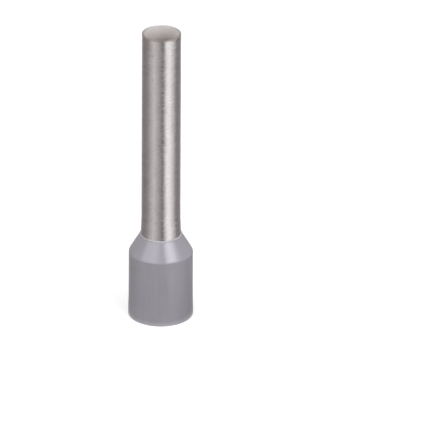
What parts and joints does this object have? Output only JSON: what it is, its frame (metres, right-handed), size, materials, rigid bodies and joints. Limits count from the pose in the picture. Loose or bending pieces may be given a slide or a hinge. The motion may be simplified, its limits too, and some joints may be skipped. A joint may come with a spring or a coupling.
{
  "type": "wire ferrule",
  "caption": "Insulated wire ferrule: a long thin-walled tinned sleeve, open at both ends, with a flared root in a short grey collar with a conical shoulder.",
  "frame": {"origin": "centre of the collar's mouth, on the plane of its rim, which the part stands on", "axes": "+Z along the ferrule's axis from the collar's mouth to the tip of the sleeve; X and Y are alike, because the part is turned about Z"},
  "size_m": [0.0054, 0.0054, 0.0253],
  "materials": {
    "tinned_copper": "satin",
    "grey_polypropylene": "satin"
  },
  "bodies": {
    "root": {"metal_sleeve": "tinned_copper", "insulating_collar": "grey_polypropylene"}
  },
  "joints": []
}
